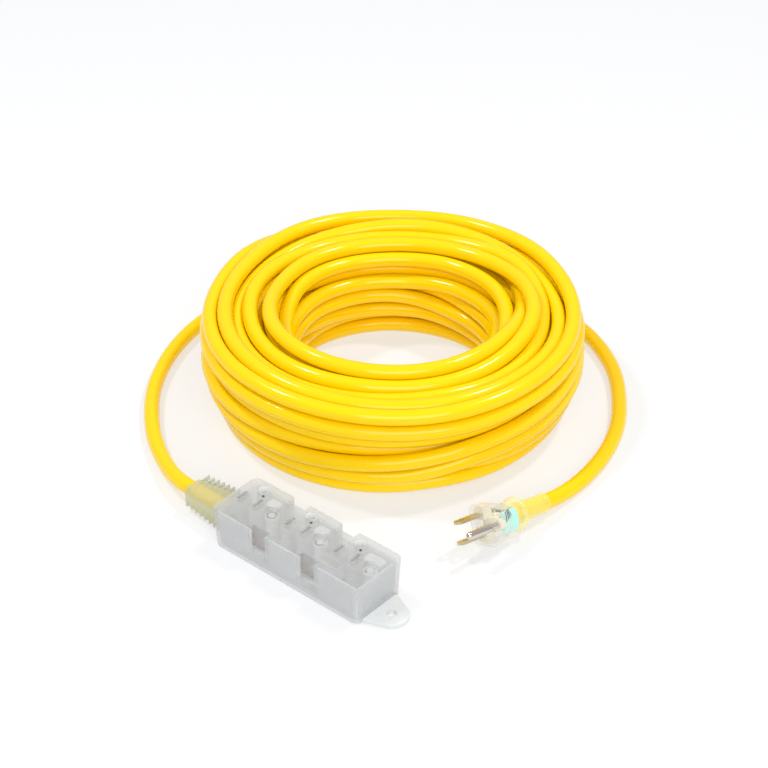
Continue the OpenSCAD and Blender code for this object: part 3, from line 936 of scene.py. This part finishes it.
def make_collar():
    """Yellow-tinted rear of the body: the waist flares to a rounded collar."""
    profile = [
        (-17.9, 9.4), (-20, 9.3), (-22, 9.2), (-23.4, 9.4), (-24.4, 10), (-25, 10.6),
        (-26.2, 10.9), (-27.3, 10.8), (-28, 10.2), (-28.3, 9), (-28.3, 6),
    ]
    collar = make_object("plug_collar", loft(along_x(profile, 64)), PLUG)
    return finish_piece(collar, COLLAR_PVC, "clear_plug")


def make_sleeve():
    """Soft sleeve on the cable behind the collar, with a rolled end."""
    profile = [
        (-28, 6.9), (-30, 6.7), (-36, 6.45), (-44, 6.15), (-49, 6.0), (-49.6, 6.2), (-50.4, 6.35),
        (-51.3, 6.2), (-51.9, 5.8), (-52, 5.1),
    ]
    sleeve = make_object("tail_sleeve", loft(along_x(profile, 64)), PLUG)
    return finish_piece(sleeve, SLEEVE_PVC, "clear_boot", "plug_sleeve")


def arc_patch(x0, x1, inner, outer, start, stop, steps=20):
    """Part of a thick tube round the X axis between two angles from +Y."""
    angles = [math.radians(start + (stop - start) * k / steps) for k in range(steps + 1)]
    corners = ((x0, inner), (x1, inner), (x1, outer), (x0, outer))
    return loft([[(x, r * math.cos(a), r * math.sin(a)) for x, r in corners] for a in angles])


def make_lens():
    """Mint lens round the waist, over the lamp."""
    lens = make_object("plug_lens_cover", arc_patch(-20.5, -9.5, 5.6, 9.9, -50, 44), PLUG)
    bevel(lens, 0.6, 3)
    return finish_piece(lens, LENS_PVC, "tinted_lens", "plug_lens")


def make_lens_ribs():
    """Fine dark ribs on the clear shell over the upper front of the lens."""
    stations = np.array(SHELL[::-1])
    thick, pitch = 0.4, 1.9
    parts = []
    for k in range(4):
        x = -9 - pitch * k
        inset, roundness, radius = (np.interp(x, stations[:, 0], stations[:, i]) for i in (1, 2, 3))
        rings = []
        for j in range(7):
            a = math.radians(6 + 4 * k + 4.5 * j)
            reach = (head_reach(a) - inset) * (1 - roundness) + radius * roundness
            low, high = reach - 0.2, reach + 0.1
            corners = ((x, low), (x - thick, low), (x - thick, high), (x, high))
            rings.append([(u, r * math.cos(a), r * math.sin(a)) for u, r in corners])
        parts.append(loft(rings))
    ribs = join_meshes("lens_ribs", parts)
    ribs.data.transform(PLUG)
    return finish_piece(ribs, RIB_DARK_AND_SHADE, "core_black")


make_plug_shell()
make_collar()
make_sleeve()
make_lens()
make_lens_ribs()

# ---------------------------------------------------------------- carried-over CAD nodes

NODE_MATERIALS = {
    "hot_bus": COPPER, "neutral_bus": COPPER, "ground_bus": CONTACT_BRASS,
    "bus_crimps": CONTACT_BRASS, "plug_crimps": CONTACT_BRASS,
    "block_hot_lead": BLACK, "block_neutral_lead": WHITE, "block_ground_lead": GREEN,
    "plug_hot_lead": BLACK, "plug_neutral_lead": WHITE, "plug_ground_lead": GREEN,
    "block_jacket_end": YELLOW, "plug_jacket_end": YELLOW, "plug_core": IVORY,
    "hot_blade": BLADE_BRASS, "neutral_blade": BLADE_BRASS, "ground_pin": PIN_METAL,
    "block_lamp": LAMP, "plug_lamp": LAMP, "block_resistor": RESISTOR, "plug_resistor": RESISTOR,
}
for node, material in NODE_MATERIALS.items():
    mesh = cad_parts[node].data
    mesh.materials.clear()
    mesh.materials.append(material)

# ---------------------------------------------------------------- stage and light


def make_stage():
    """Pale floor that falls off to white."""
    bpy.ops.mesh.primitive_plane_add(size=8)
    floor = bpy.context.object
    floor.name = "floor"
    material = new_material("floor_paint", (0.37, 0.373, 0.385), 0.7)
    shader = material.node_tree.nodes["Principled BSDF"]
    shader.inputs["Specular IOR Level"].default_value = 0.1
    shader.inputs["Emission Color"].default_value = (1, 1, 1, 1)
    shader.inputs["Emission Strength"].default_value = 0.55
    floor.data.materials.append(material)


def soft_light(name, side, ahead, up, distance, size, watts):
    """Soft box aimed at the coil, off to its side, ahead of it and above it as the camera sees it."""
    right = CAMERA_FORWARD.cross(Vector((0, 0, 1))).normalized()
    level = Vector((CAMERA_FORWARD.x, CAMERA_FORWARD.y, 0)).normalized()
    way = (side * right + ahead * level + Vector((0, 0, up))).normalized()
    data = bpy.data.lights.new(name, "AREA")
    data.shape = "RECTANGLE"
    data.size, data.size_y = size
    data.energy = watts
    light = bpy.data.objects.new(name, data)
    light.location = Vector((*COIL_AT, 30)) * MM + distance * way
    light.rotation_euler = (-way).to_track_quat("-Z", "Y").to_euler()
    bpy.context.scene.collection.objects.link(light)


def make_light():
    """White surroundings, two small boxes for the glints and a wide one in front."""
    world = bpy.data.worlds.new("studio")
    world.use_nodes = True
    world.node_tree.nodes["Background"].inputs["Color"].default_value = (1, 1, 1, 1)
    world.node_tree.nodes["Background"].inputs["Strength"].default_value = 0.5
    bpy.context.scene.world = world
    bpy.context.scene.view_settings.view_transform = "Standard"
    soft_light("left_box", -0.5, 0.15, 0.85, 1.7, (0.16, 0.16), 9)
    soft_light("right_box", 0.42, 0.15, 0.89, 1.7, (0.16, 0.16), 9)
    soft_light("front_fill", 0.1, -0.9, 0.6, 2.0, (1.6, 1.2), 21)


make_stage()
make_light()
